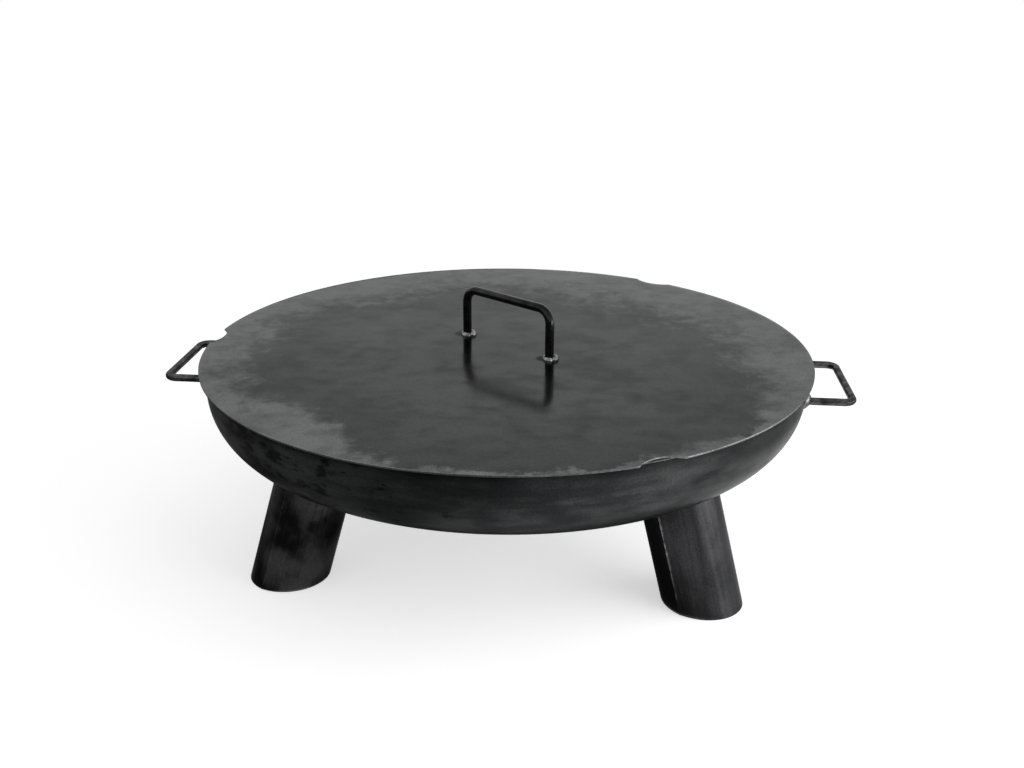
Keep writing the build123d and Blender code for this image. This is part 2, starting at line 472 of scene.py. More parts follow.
@dataclass(frozen=True)
class SheetSteel(RolledSteel):
    """Hot-rolled sheet whose scale is rubbed thin towards the edge.

    To the eye it is a dark feathered cloud on a paler rim, with heat blackening and painted shadow, drawn
    off to the left, where bars were welded on. Each worn spot has its place, its radius and how far it draws
    the cloud's border in, or out where that is negative.
    """

    top: float = 0.0
    rubbed_dark: str = "#565757"
    rubbed: str = "#6b6c6c"
    edge_of_cloud: str = "#353636"
    border_share: float = 0.5
    cloud_middle: Pair = (-5.0, -66.0)
    cloud_radius: float = 342.0
    feather: Pair = (18.0, 75.0)
    feathered: Pair = (-250.0, 150.0)
    frayed: float = 2.4
    fray_twist: float = 0.4
    bay: float = 170.0
    wander: float = 115.0
    pattern_shift: float = 900.0
    worn_from: float = 395.0
    worn_width: float = 14.0
    worn_spots: tuple[tuple[float, float, float, float], ...] = (
        (-210.0, -305.0, 215.0, 36.0), (300.0, -270.0, 100.0, -45.0), (-300.0, 130.0, 140.0, -30.0),
    )
    # Heat blackening and painted shadow round the weld feet.
    weld_blackening_and_shadow: str = "#151515"
    blackening_and_shadow_reach: Pair = (9.0, 13.0)
    welded: tuple[Point, ...] = ()

    def colour(self, tree: Tree, place: Socket, tone: Node) -> Socket:
        """Colour of the cloud, its darker border, the rubbed rim, and the heat blackening and painted shadow
        at the welds.

        Args:
            tree: Tree that takes the nodes.
            place: Where a point lies on the stock.
            tone: Dark to pale.

        Returns:
            The socket that gives the colour.
        """
        feather = add_node(tree, "MapRange", {
            "Value": add_node(tree, "SeparateXYZ", {0: place}).outputs["Y"],
            "From Min": self.feathered[0] * MILLIMETRE, "From Max": self.feathered[1] * MILLIMETRE,
            "To Min": self.feather[0] * MILLIMETRE, "To Max": self.feather[1] * MILLIMETRE,
        })
        frays = add_node(tree, "Math", {0: self.stray(tree, place, self.streak, self.frayed), 1: feather},
                         operation="MULTIPLY")
        reach = self.gap(tree, place, (*self.cloud_middle, self.top))
        shifts = [self.stray(tree, place, self.bay, self.wander * MILLIMETRE)]
        for x, y, radius, depth in self.worn_spots:
            shifts.append(add_node(tree, "MapRange", {
                "Value": self.gap(tree, place, (x, y, self.top)), "From Max": radius * MILLIMETRE,
                "To Min": depth * MILLIMETRE, "To Max": 0.0,
            }, interpolation_type="SMOOTHSTEP"))
        for shift in (*shifts, frays):
            reach = add_node(tree, "Math", {0: reach, 1: shift}, operation="ADD")
        cloud_edge = self.cloud_radius * MILLIMETRE
        rubbed_off = add_node(tree, "MapRange", {
            "Value": reach,
            "From Min": add_node(tree, "Math", {0: cloud_edge, 1: feather}, operation="SUBTRACT"),
            "From Max": add_node(tree, "Math", {0: cloud_edge, 1: feather}, operation="ADD"),
        }, interpolation_type="SMOOTHSTEP")
        edge_reach = add_node(tree, "Math", {0: self.gap(tree, place, (0, 0, self.top)), 1: frays},
                              operation="ADD")
        worn_off = add_node(tree, "MapRange", {
            "Value": edge_reach, "From Min": self.worn_from * MILLIMETRE,
            "From Max": (self.worn_from + self.worn_width) * MILLIMETRE,
        }, interpolation_type="SMOOTHSTEP")
        outside = add_node(tree, "Math", {0: rubbed_off, 1: worn_off}, operation="MAXIMUM")
        border = add_node(tree, "MapRange", {
            "Value": reach, "From Min": cloud_edge / 2, "From Max": cloud_edge, "To Max": self.border_share,
        }, interpolation_type="SMOOTHSTEP")
        result = RolledSteel.colour(self, tree, place, tone)
        rubbed = add_node(tree, "Mix", {
            0: tone, COLOUR_A: linear(self.rubbed_dark), COLOUR_B: linear(self.rubbed),
        }, data_type="RGBA").outputs[COLOUR_RESULT]
        for share, layer in ((border, linear(self.edge_of_cloud)), (outside, rubbed)):
            result = add_node(tree, "Mix", {0: share, COLOUR_A: result, COLOUR_B: layer},
                              data_type="RGBA").outputs[COLOUR_RESULT]
        # Heat blackening and painted shadow round each weld foot, drawn off to the left.
        for spot in self.welded:
            clear_of_blackening_and_shadow = add_node(tree, "MapRange", {
                "Value": self.gap(tree, place, spot), "From Min": self.blackening_and_shadow_reach[0] * MILLIMETRE,
                "From Max": self.blackening_and_shadow_reach[1] * MILLIMETRE,
            }, interpolation_type="SMOOTHSTEP")
            result = add_node(tree, "Mix", {0: clear_of_blackening_and_shadow, COLOUR_A: linear(self.weld_blackening_and_shadow), COLOUR_B: result},
                              data_type="RGBA").outputs[COLOUR_RESULT]
        return result

    def stray(self, tree: Tree, place: Socket, width: float, amount: float) -> Node:
        """How far the border of the cloud strays at a point.

        Args:
            tree: Tree that takes the nodes.
            place: Where a point lies on the stock.
            width: Width of its bays.
            amount: How far it strays at most.

        Returns:
            The node that gives the distance, up to the amount either way.
        """
        ragged = add_node(tree, "TexNoise", noise_dimensions="4D", inputs={
            "Vector": place, "W": self.pattern_shift * MILLIMETRE, "Scale": per_size(width),
            "Detail": FRAY_DETAIL, "Roughness": RAGGED, "Distortion": self.fray_twist,
        })
        return add_node(tree, "MapRange", {"Value": ragged, "To Min": -amount, "To Max": amount})


@dataclass(frozen=True)
class WeldMetal(RolledSteel):
    """Mild steel laid down by an electric arc.

    To the eye it is bright and uneven, silvery on its crowns and dull in its creases. It was never rolled,
    so its streaks run one way as much as another.
    """

    drawn: Point = (1.0, 1.0, 1.0)
    grit: float = 1.2
    grit_depth: float = 0.02


# Clean tube: an even dark grey skin with fine lines along it.
TUBE_STEEL = RolledSteel(
    "hot_rolled_tube_steel", dark="#29292a", pale="#414143", patch=60, streak=5, drawn=(1, 1, 24),
    streaky=0.35, contrast=(0.3, 0.7), pitted=0.05, pit=3, roughness=(0.3, 0.4),
)
# Tube with oil stains: large soft black patches on a paler ground.
STAINED_TUBE_STEEL = RolledSteel(
    "oil_stained_tube_steel", dark="#1e1e1f", pale="#5a5a5c", patch=60, streak=5, drawn=(1, 1, 14),
    streaky=0.15, contrast=(0.38, 0.62), pitted=0.02, pit=3, roughness=(0.3, 0.4),
)
# Weld seam of a tube, planed off: a bright and uneven thin line.
SEAM_STEEL = RolledSteel(
    "scarfed_tube_seam", dark="#333333", pale="#808080", patch=60, streak=3, drawn=(1, 1, 8),
    roughness=(0.3, 0.4),
)
# Black round bar: nearly black, with a fine bright line where it turns away from the eye.
BAR_STEEL = RolledSteel(
    "black_round_bar", dark="#161617", pale="#363637", patch=26, streak=4, drawn=(1, 1, 14),
    roughness=(0.24, 0.32), grazing=WHITE,
)
# Round bar that hands and other bars rubbed: black with grey flecks.
RUBBED_BAR_STEEL = RolledSteel(
    "rubbed_round_bar", dark="#242425", pale="#5c5c5d", patch=14, streak=3, drawn=(1, 1, 6),
    roughness=(0.3, 0.4),
)
# Bars of the grate: black and dull, with only a soft sheen.
GRATE_STEEL = RolledSteel(
    "black_grate_bar", dark="#161617", pale="#39393a", patch=40, streak=4, drawn=(1, 1, 14),
    roughness=(0.36, 0.5),
)
# Plasma-cut edge of a sheet: a thin pale outline with fine upright lines.
CUT_STEEL = RolledSteel(
    "plasma_cut_steel_edge", dark="#5a5a5a", pale="#868686", patch=90, streak=3, drawn=(1, 1, 6),
    roughness=(0.35, 0.45),
)
# Arc weld as it was laid: silvery on its crowns and dull in its creases.
WELD_METAL = WeldMetal(
    "arc_weld_metal", dark="#484848", pale="#8c8c8c", patch=9, streak=4, roughness=(0.34, 0.46),
)
# Arc weld gone over with a wire brush: paler and more even.
BRUSHED_WELD = WeldMetal(
    "wire_brushed_weld_metal", dark="#606060", pale="#8e8e8e", patch=7, streak=3, roughness=(0.34, 0.46),
)
# Arc weld that is still fresh: glossy dabs with glints.
FRESH_WELD = WeldMetal(
    "fresh_weld_metal", dark="#404040", pale="#989898", patch=7, streak=3, roughness=(0.22, 0.32),
)


@dataclass(frozen=True)
class Piece:
    """What a finished mesh is called, what carries it, its slot and the nodes that it stands for."""

    name: str
    body: Body
    slot: Slot
    stands_for: tuple[str, ...] = ()

    def place(self, surface: Surface, *finishes: RolledSteel) -> None:
        """Add the piece to the scene and report it.

        Args:
            surface: Its mesh in the making.
            finishes: Its finishes, in the order that the surface counts them.
        """
        piece = bpy.data.objects.new(self.name, surface.to_mesh(self.name))
        bpy.context.scene.collection.objects.link(piece)
        for finish in finishes:
            piece.data.materials.append(finish.material())
        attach(piece, self.body.value)
        if self.stands_for:
            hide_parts(*self.stands_for)
        log.info("%s rides on %s, %d faces", self.name, self.body.value, len(piece.data.polygons))


@dataclass(frozen=True)
class Dish:
    """The bowl's curve: a crown, a knuckle and a short upright flange."""

    radius: float
    bottom: float
    rim: float
    wall: float = 3.0
    crown: float = 800.0
    knuckle: float = 80.0
    columns: int = 240
    crown_rows: int = 30
    knuckle_rows: int = 18
    rim_round: float = 0.8
    round_rows: int = 4

    @classmethod
    def from_frame(cls) -> "Dish":
        """Read the bowl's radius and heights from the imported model."""
        low, high = (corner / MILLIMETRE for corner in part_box("fire_bowl"))
        return cls(radius=high.x, bottom=low.z, rim=high.z)

    @property
    def crown_middle(self) -> Vector:
        """Centre of the crown's sphere."""
        return Vector((0, 0, self.bottom + self.crown))

    @property
    def crown_angle(self) -> float:
        """Angle from straight down at which the crown meets the knuckle, in radians."""
        return asin((self.radius - self.knuckle) / (self.crown - self.knuckle))

    @property
    def flange_foot(self) -> float:
        """Height at which the knuckle turns into the flange."""
        return self.crown_middle.z - (self.crown - self.knuckle) * cos(self.crown_angle)

    def radius_at(self, height: float) -> float:
        """Outer radius of the bowl's side at a height in the knuckle or the flange."""
        below = max(0.0, self.flange_foot - height)
        return self.radius - self.knuckle + sqrt(self.knuckle**2 - below**2)

    def side_seat(self, point: Vector) -> Vector:
        """Where a point meets the bowl's side when it is pushed along X."""
        reach = sqrt(self.radius_at(point.z) ** 2 - point.y**2)
        return Vector((reach if point.x > 0 else -reach, point.y, point.z))

    def crown_seat(self, point: Vector, heading: Vector) -> Vector:
        """Where a line from below first meets the crown.

        Args:
            point: A point on the line.
            heading: The line's unit direction.

        Returns:
            The point on the crown's outer face.
        """
        offset = point - self.crown_middle
        middle = offset.dot(heading)
        return point + heading * (-middle - sqrt(middle**2 - offset.length_squared + self.crown**2))

    def half_section(self, inset: float) -> list[Pair]:
        """Radius and height along the curve, from the lowest point to the foot of the flange.

        Args:
            inset: How far inside the outer face the curve lies.

        Returns:
            The points of the curve.
        """
        crown = self.crown - inset
        knuckle = self.knuckle - inset
        section = [
            (crown * sin(angle), self.crown_middle.z - crown * cos(angle))
            for angle in spread(0, self.crown_angle, self.crown_rows)
        ]
        for angle in spread(self.crown_angle, pi / 2, self.knuckle_rows)[1:]:
            section.append((
                self.radius - self.knuckle + knuckle * sin(angle), self.flange_foot - knuckle * cos(angle)
            ))
        return section

    def surface(self) -> Surface:
        """The whole bowl, with a rim that is rounded over by grinding.

        Returns:
            The bowl's skin, with finish 1 on the rim.
        """
        soft = self.rim_round
        rim = []
        for side, start in ((self.radius - soft, 0), (self.radius - self.wall + soft, pi / 2)):
            for angle in spread(start, start + pi / 2, self.round_rows):
                rim.append((side + soft * cos(angle), self.rim - soft + soft * sin(angle)))
        rings = []
        for radius, height in self.half_section(0) + rim + self.half_section(self.wall)[::-1]:
            angles = around(self.columns) if radius else [0]
            rings.append([direction(angle) * radius + UP * height for angle in angles])
        shell = Surface()
        shell.cover(rings, Ends.OPEN)
        shell.repaint(1, lambda middle: middle.z > self.rim - soft / 2)
        return shell


@dataclass(frozen=True)
class BentBar:
    """Round bar bent through the corners of a flat path."""

    corners: tuple[Vector, ...]
    radius: float
    bend: float
    columns: int = 28
    bend_rows: int = 10
    run_step: float = 8.0
    flattening: float = 0.03

    def straight(self, start: Vector, stop: Vector) -> list[tuple[Vector, Vector, float]]:
        """Where the rings of a straight run lie.

        Args:
            start: Middle of its first ring.
            stop: Middle of its last ring.

        Returns:
            Middle, heading and sharpness of the bend, which is 0, at each ring.
        """
        steps = ceil((stop - start).length / self.run_step)
        heading = (stop - start).normalized()
        return [(start.lerp(stop, share), heading, 0.0) for share in spread(0, 1, steps)]

    def stations(self) -> list[tuple[Vector, Vector, float]]:
        """Where the bar's rings lie, from end to end.

        Returns:
            Middle, heading and sharpness of the bend, from 0 to 1, at each ring.
        """
        headings = [(stop - start).normalized() for start, stop in zip(self.corners, self.corners[1:])]
        stations = []
        start = self.corners[0]
        for corner, heading, after in zip(self.corners[1:], headings, headings[1:]):
            turn = acos(heading.dot(after))
            trim = self.bend * tan(turn / 2)
            stop = corner - heading * trim
            stations += self.straight(start, stop)
            inward = (after - heading * heading.dot(after)).normalized()
            pivot = stop + inward * self.bend
            for angle in spread(0, turn, self.bend_rows)[1:-1]:
                out = heading * sin(angle) - inward * cos(angle)
                turned = heading * cos(angle) + inward * sin(angle)
                stations.append((pivot + out * self.bend, turned, sin(pi * angle / turn)))
            start = corner + after * trim
        return stations + self.straight(start, self.corners[-1])

    def surface(self, seat: Seat | None = None) -> Surface:
        """The bar, with ends that are cut to fit what carries them.

        Args:
            seat: Pushes a point of an end ring onto the carrying face.

        Returns:
            The bar's skin, with its pattern laid along the straight bar.
        """
        first, second, third = self.corners[:3]
        across = (second - first).cross(third - second).normalized()
        stations = self.stations()
        steps = [(after[0] - before[0]).length for before, after in zip(stations, stations[1:])]
        runs = list(accumulate(steps, initial=0.0))

        def point(number: int, angle: float) -> Placed:
            """A point of the bar's skin.

            Args:
                number: Which station.
                angle: Angle round the bar, in radians.

            Returns:
                The point, and the same point on the straight bar.
            """
            middle, heading, sharpness = stations[number]
            flat = self.radius * (1 - self.flattening * sharpness)
            placed = middle + heading.cross(across) * flat * cos(angle) + across * self.radius * sin(angle)
            if seat and number in (0, len(steps)):
                placed = seat(placed)
            return placed, direction(angle) * self.radius + UP * runs[number]

        return Surface.swept(range(len(stations)), around(self.columns), point, Ends.CAPPED)


@dataclass(frozen=True)
class WeldRoot:
    """One station of a fillet weld: the corner that it fills and the two faces that it wets."""

    corner: Vector
    along_bar: Vector
    along_plate: Vector
    run: float

    @classmethod
    def at(cls, middle: Vector, out: Vector, seat: Seat, along_bar: Vector, run: float,
           beyond: float = 1.02) -> "WeldRoot":
        """Find the station where a bar's skin meets the carrying face.

        Args:
            middle: A point on the bar's axis.
            out: From there to the bar's skin.
            seat: Pushes a point of the skin onto the face.
            along_bar: Unit direction along the bar, away from the face.
            run: Place along the weld.
            beyond: Where the face's direction is felt for, as a multiple of the way to the skin.

        Returns:
            The station.
        """
        corner = seat(middle + out)
        away = (seat(middle + out * beyond) - corner).normalized()
        return cls(corner, along_bar, away, run)

    @classmethod
    def all_round(cls, middle: Vector, sides: Placed, radius: float, seat: Seat, along_bar: Vector,
                  stations: int) -> list["WeldRoot"]:
        """Stations of a weld all round the end of a bar.

        Args:
            middle: A point on the bar's axis.
            sides: Two unit directions across the bar.
            radius: The bar's radius.
            seat: Pushes a point of the bar's skin onto the carrying face.
            along_bar: Unit direction along the bar, away from the face.
            stations: How many stations there are.

        Returns:
            The stations in order.
        """
        roots = []
        for angle in around(stations):
            out = (sides[0] * cos(angle) + sides[1] * sin(angle)) * radius
            roots.append(cls.at(middle, out, seat, along_bar, radius * angle))
        return roots


@dataclass(frozen=True)
class Bead:
    """A fillet weld laid in overlapping ripples."""

    size: float
    pitch: float = 4.5
    ripple: float = 0.12
    ripple_middle: float = 0.6
    bow: float = 0.35
    fullness: float = 1.15
    rise: float = 1.0
    stray: float = 0.0
    stray_width: float = 10.0
    rows: int = 8
    sunk: float = 0.6

    def uneven(self, run: float, seed: float) -> float:
        """Share of the full size that a hand lays at a run, with a seed that tells beads apart."""
        return 1 + self.stray * noise.noise(Vector((run / self.stray_width, seed, seed)))

    def lay(self, roots: Sequence[WeldRoot], lump: Lump, ends: Ends, bead: Surface | None = None) -> Surface:
        """Lay the bead.

        Args:
            roots: Its stations in order.
            lump: Share of the size at a run along the bead.
            ends: Joined all round, or capped.
            bead: Surface that takes it, where it isn't the first.

        Returns:
            The surface with the bead's closed skin.
        """
        rings = []
        for root in roots:
            ring = [root.corner - (root.along_bar + root.along_plate) * self.sunk]
            for angle in spread(0, pi / 2, self.rows):
                phase = (root.run / self.pitch + self.bow * sin(2 * angle)) % 1
                scallop = 1 + self.ripple * (sqrt(phase) - self.ripple_middle) * sin(2 * angle)
                reach = self.size * lump(root.run) * scallop
                ring.append(
                    root.corner
                    + root.along_bar * (reach * self.rise * cos(angle) ** self.fullness)
                    + root.along_plate * (reach * sin(angle) ** self.fullness)
                )
            rings.append(ring)
        bead = bead or Surface()
        bead.cover(rings, ends)
        return bead


@dataclass(frozen=True)
class Leg:
    """A length of seam-welded tube that leans in towards the bowl.

    The seam is bare metal, gone at the first run of seam_bare and whole at the second. cut_from says where
    the leg was cut from the long tube, so that no two legs show the same stains.
    """

    dish: Dish
    place: str
    turn: float
    steel: RolledSteel
    seam_turn: float
    seam_share: float
    seam_bare: Pair
    cut_from: float
    foot_radius: float = 316.0
    splay: float = 17.0
    radius: float = 50.8
    wall: float = 3.0
    chamfer: float = 0.7
    rows: int = 56
    seam_width: float = 1.2
    seam_height: float = 0.9
    seam_lumps: float = 7.0
    seam_middle: float = 0.8
    seam_stray: float = 0.9
    seam_least: float = 0.3
    peak_height: float = 1.3
    peak_angle: float = 15.0
    fine_reach: int = 8
    fine_step: float = 0.4
    coarse_step: int = 2
    weld: Bead = Bead(size=7.0, pitch=5.0, ripple=0.16, stray=0.18, stray_width=14.0)
    weld_stations: int = 440

    @cached_property
    def axis(self) -> Vector:
        """Unit direction up the leg."""
        return UP * cos(radians(self.splay)) - direction(radians(self.turn)) * sin(radians(self.splay))

    @cached_property
    def foot(self) -> Vector:
        """Middle of the leg on the floor."""
        return direction(radians(self.turn)) * self.foot_radius

    @cached_property
    def sides(self) -> Placed:
        """The two directions across the leg.

        Returns:
            The unit direction towards the seam, and the one a quarter turn on.
        """
        tangent = UP.cross(direction(radians(self.turn)))
        outward = tangent.cross(self.axis)
        seam = radians(self.seam_turn)
        return outward * cos(seam) + tangent * sin(seam), tangent * cos(seam) - outward * sin(seam)

    def columns(self) -> list[float]:
        """Where the points of the tube's rings lie.

        Returns:
            Angles from the seam, close together at the seam.
        """
        fine = spread(-self.fine_reach, self.fine_reach, round(2 * self.fine_reach / self.fine_step))
        wide = range(self.fine_reach + self.coarse_step, 360 - self.fine_reach, self.coarse_step)
        return fine + [float(angle) for angle in wide]

    def seam_lump(self, run: float) -> float:
        """Share of the full seam at a run along the leg.

        Args:
            run: Distance along the leg.

        Returns:
            The share, which is uneven and falls to nothing where the seam was planed off.
        """
        gone, whole = self.seam_bare
        left = min(1.0, max(0.0, (run - gone) / (whole - gone)))
        wave = noise.noise(Vector((run / self.seam_lumps, self.turn, 0)))
        return self.seam_share * max(self.seam_least, self.seam_middle + self.seam_stray * wave) * left

    def swell(self, angle: float, run: float) -> float:
        """How far the seam's bead and the peak that it leaves stand proud of the round tube.

        Args:
            angle: Degrees from the seam.
            run: Distance along the leg.

        Returns:
            The height above the tube.
        """
        turned = (angle + 180) % 360 - 180
        arc = radians(turned) * self.radius
        bead = self.seam_height * self.seam_lump(run) * exp(-((arc / self.seam_width) ** 2))
        return bead + self.peak_height * exp(-abs(turned) / self.peak_angle)

    def skin_point(self, row: tuple[float, float, bool], angle: float) -> Placed:
        """A point of the tube's outer or inner face.

        Args:
            row: Share of the way up, chamfer at the foot, which takes the point that far into the wall on
                the floor, and whether it lies on the outer face.
            angle: Degrees from the seam.

        Returns:
            The point, and the same point on a tube that stands upright with its seam along +X.
        """
        share, cut, outer = row
        out = self.sides[0] * cos(radians(angle)) + self.sides[1] * sin(radians(angle))
        radius = self.radius if outer else self.radius - self.wall
        base = self.foot + out * (radius - cut if outer else radius + cut)
        start = base - self.axis * (base.z / self.axis.z)
        if share == 0 and cut == 0:
            start += self.axis * (self.chamfer / self.axis.z)
        point = start.lerp(self.dish.crown_seat(base, self.axis), share)
        run = (point - self.foot).dot(self.axis)
        if outer and not cut:
            point += out * self.swell(angle, run)
        return point, direction(radians(angle)) * radius + UP * (run + self.cut_from)

    def on_seam(self, middle: Vector) -> bool:
        """Whether a point of the upright tube lies on the bare metal of the seam."""
        return middle.x > 0 and abs(middle.y) < self.seam_width * self.seam_lump(middle.z - self.cut_from)

    def dress(self) -> None:
        """Place the tube, cut by the floor and by the crown of the bowl, and the weld round its top."""
        outer = [(0, self.chamfer, True)] + [(share, 0.0, True) for share in spread(0, 1, self.rows)]
        inner = [(1, 0.0, False), (0, 0.0, False), (0, self.chamfer, False)]
        tube = Surface.swept(outer + inner, self.columns(), self.skin_point, Ends.JOINED)
        tube.repaint(1, self.on_seam)
        Piece(f"tube_leg_{self.place}", Body.BOWL, Slot.TUBE, (f"leg_{self.place}",)).place(
            tube, self.steel, SEAM_STEEL
        )
        roots = WeldRoot.all_round(
            self.foot, self.sides, self.radius, lambda point: self.dish.crown_seat(point, self.axis),
            -self.axis, self.weld_stations,
        )
        bead = self.weld.lay(roots, lambda run: self.weld.uneven(run, self.turn), Ends.JOINED)
        Piece(f"leg_weld_bead_{self.place}", Body.BOWL, Slot.WELD, (f"leg_weld_{self.place}",)).place(
            bead, WELD_METAL
        )


@dataclass(frozen=True)
class FireBowl:
    """The dished bowl with its legs, its two carrying handles and their welds."""

    dish: Dish
    leg_turn: float = 88.6
    handle_width: float = 143.0
    handle_reach: float = 55.0
    handle_drop: float = 33.5
    bar_radius: float = 5.0
    bend: float = 13.0
    weld: Bead = Bead(size=6.5, pitch=5.0, ripple=0.03, fullness=1.4, stray=0.15, stray_width=9.0)
    weld_stations: int = 96

    def legs(self) -> tuple[Leg, ...]:
        """The three legs, a third of a turn apart."""
        return (
            Leg(self.dish, "back", self.leg_turn, TUBE_STEEL,
                seam_turn=60.0, seam_share=0.8, seam_bare=(-10.0, 50.0), cut_from=0.0),
            Leg(self.dish, "front_left", self.leg_turn + 120, STAINED_TUBE_STEEL,
                seam_turn=33.7, seam_share=0.5, seam_bare=(200.0, 70.0), cut_from=890.0),
            Leg(self.dish, "front_right", self.leg_turn + 240, TUBE_STEEL,
                seam_turn=-93.0, seam_share=1.4, seam_bare=(-10.0, 50.0), cut_from=940.0),
        )

    def dress(self) -> None:
        """Place the bowl and all that is welded to it."""
        # Its pits gather at the left front: flaked scale, and painted shade on that side.
        pressed = DishedSteel(
            "hot_rolled_dished_steel", dark="#2e2f30", pale="#4a4b4b", patch=95, streak=12, drawn=(5, 5, 1),
            streaky=0.4, contrast=(0.37, 0.63), pitted=0.29, pit=10, pit_and_shade_spot=(-330, -205, 195),
            pit_and_shade_radius=520, roughness=(0.3, 0.4), rim=self.dish.rim,
        )
        Piece("dished_bowl", Body.BOWL, Slot.DISH, ("fire_bowl",)).place(
            self.dish.surface(), pressed, CUT_STEEL
        )
        for leg in self.legs():
            leg.dress()
        for side in Side:
            self.dress_handle(side)

    def dress_handle(self, side: Side) -> None:
        """Place one carrying handle and the welds at its two ends.

        Args:
            side: Which handle.
        """
        height = self.dish.rim - self.handle_drop
        half = self.handle_width / 2
        end = side.value * (self.dish.radius + self.handle_reach)
        inside = side.value * (self.dish.radius - self.dish.knuckle)
        root = self.dish.side_seat(Vector((inside, half, height))).x
        corners = tuple(
            Vector((x, y, height)) for x, y in ((root, -half), (end, -half), (end, half), (root, half))
        )
        word = side.name.lower()
        handle = BentBar(corners, self.bar_radius, self.bend)
        Piece(f"carry_handle_{word}", Body.BOWL, Slot.BAR, (f"bowl_handle_{word}",)).place(
            handle.surface(self.dish.side_seat), RUBBED_BAR_STEEL
        )
        for end_word, y in (("front", -half), ("back", half)):
            roots = WeldRoot.all_round(
                Vector((root, y, height)), (Vector((0, 1, 0)), UP), self.bar_radius, self.dish.side_seat,
                Vector((side.value, 0, 0)), self.weld_stations,
            )
            bead = self.weld.lay(roots, lambda run: self.weld.uneven(run, y + side.value), Ends.JOINED)
            Piece(
                f"carry_handle_weld_{word}_{end_word}", Body.BOWL, Slot.WELD,
                (f"bowl_handle_weld_{word}_{end_word}",),
            ).place(bead, BRUSHED_WELD)


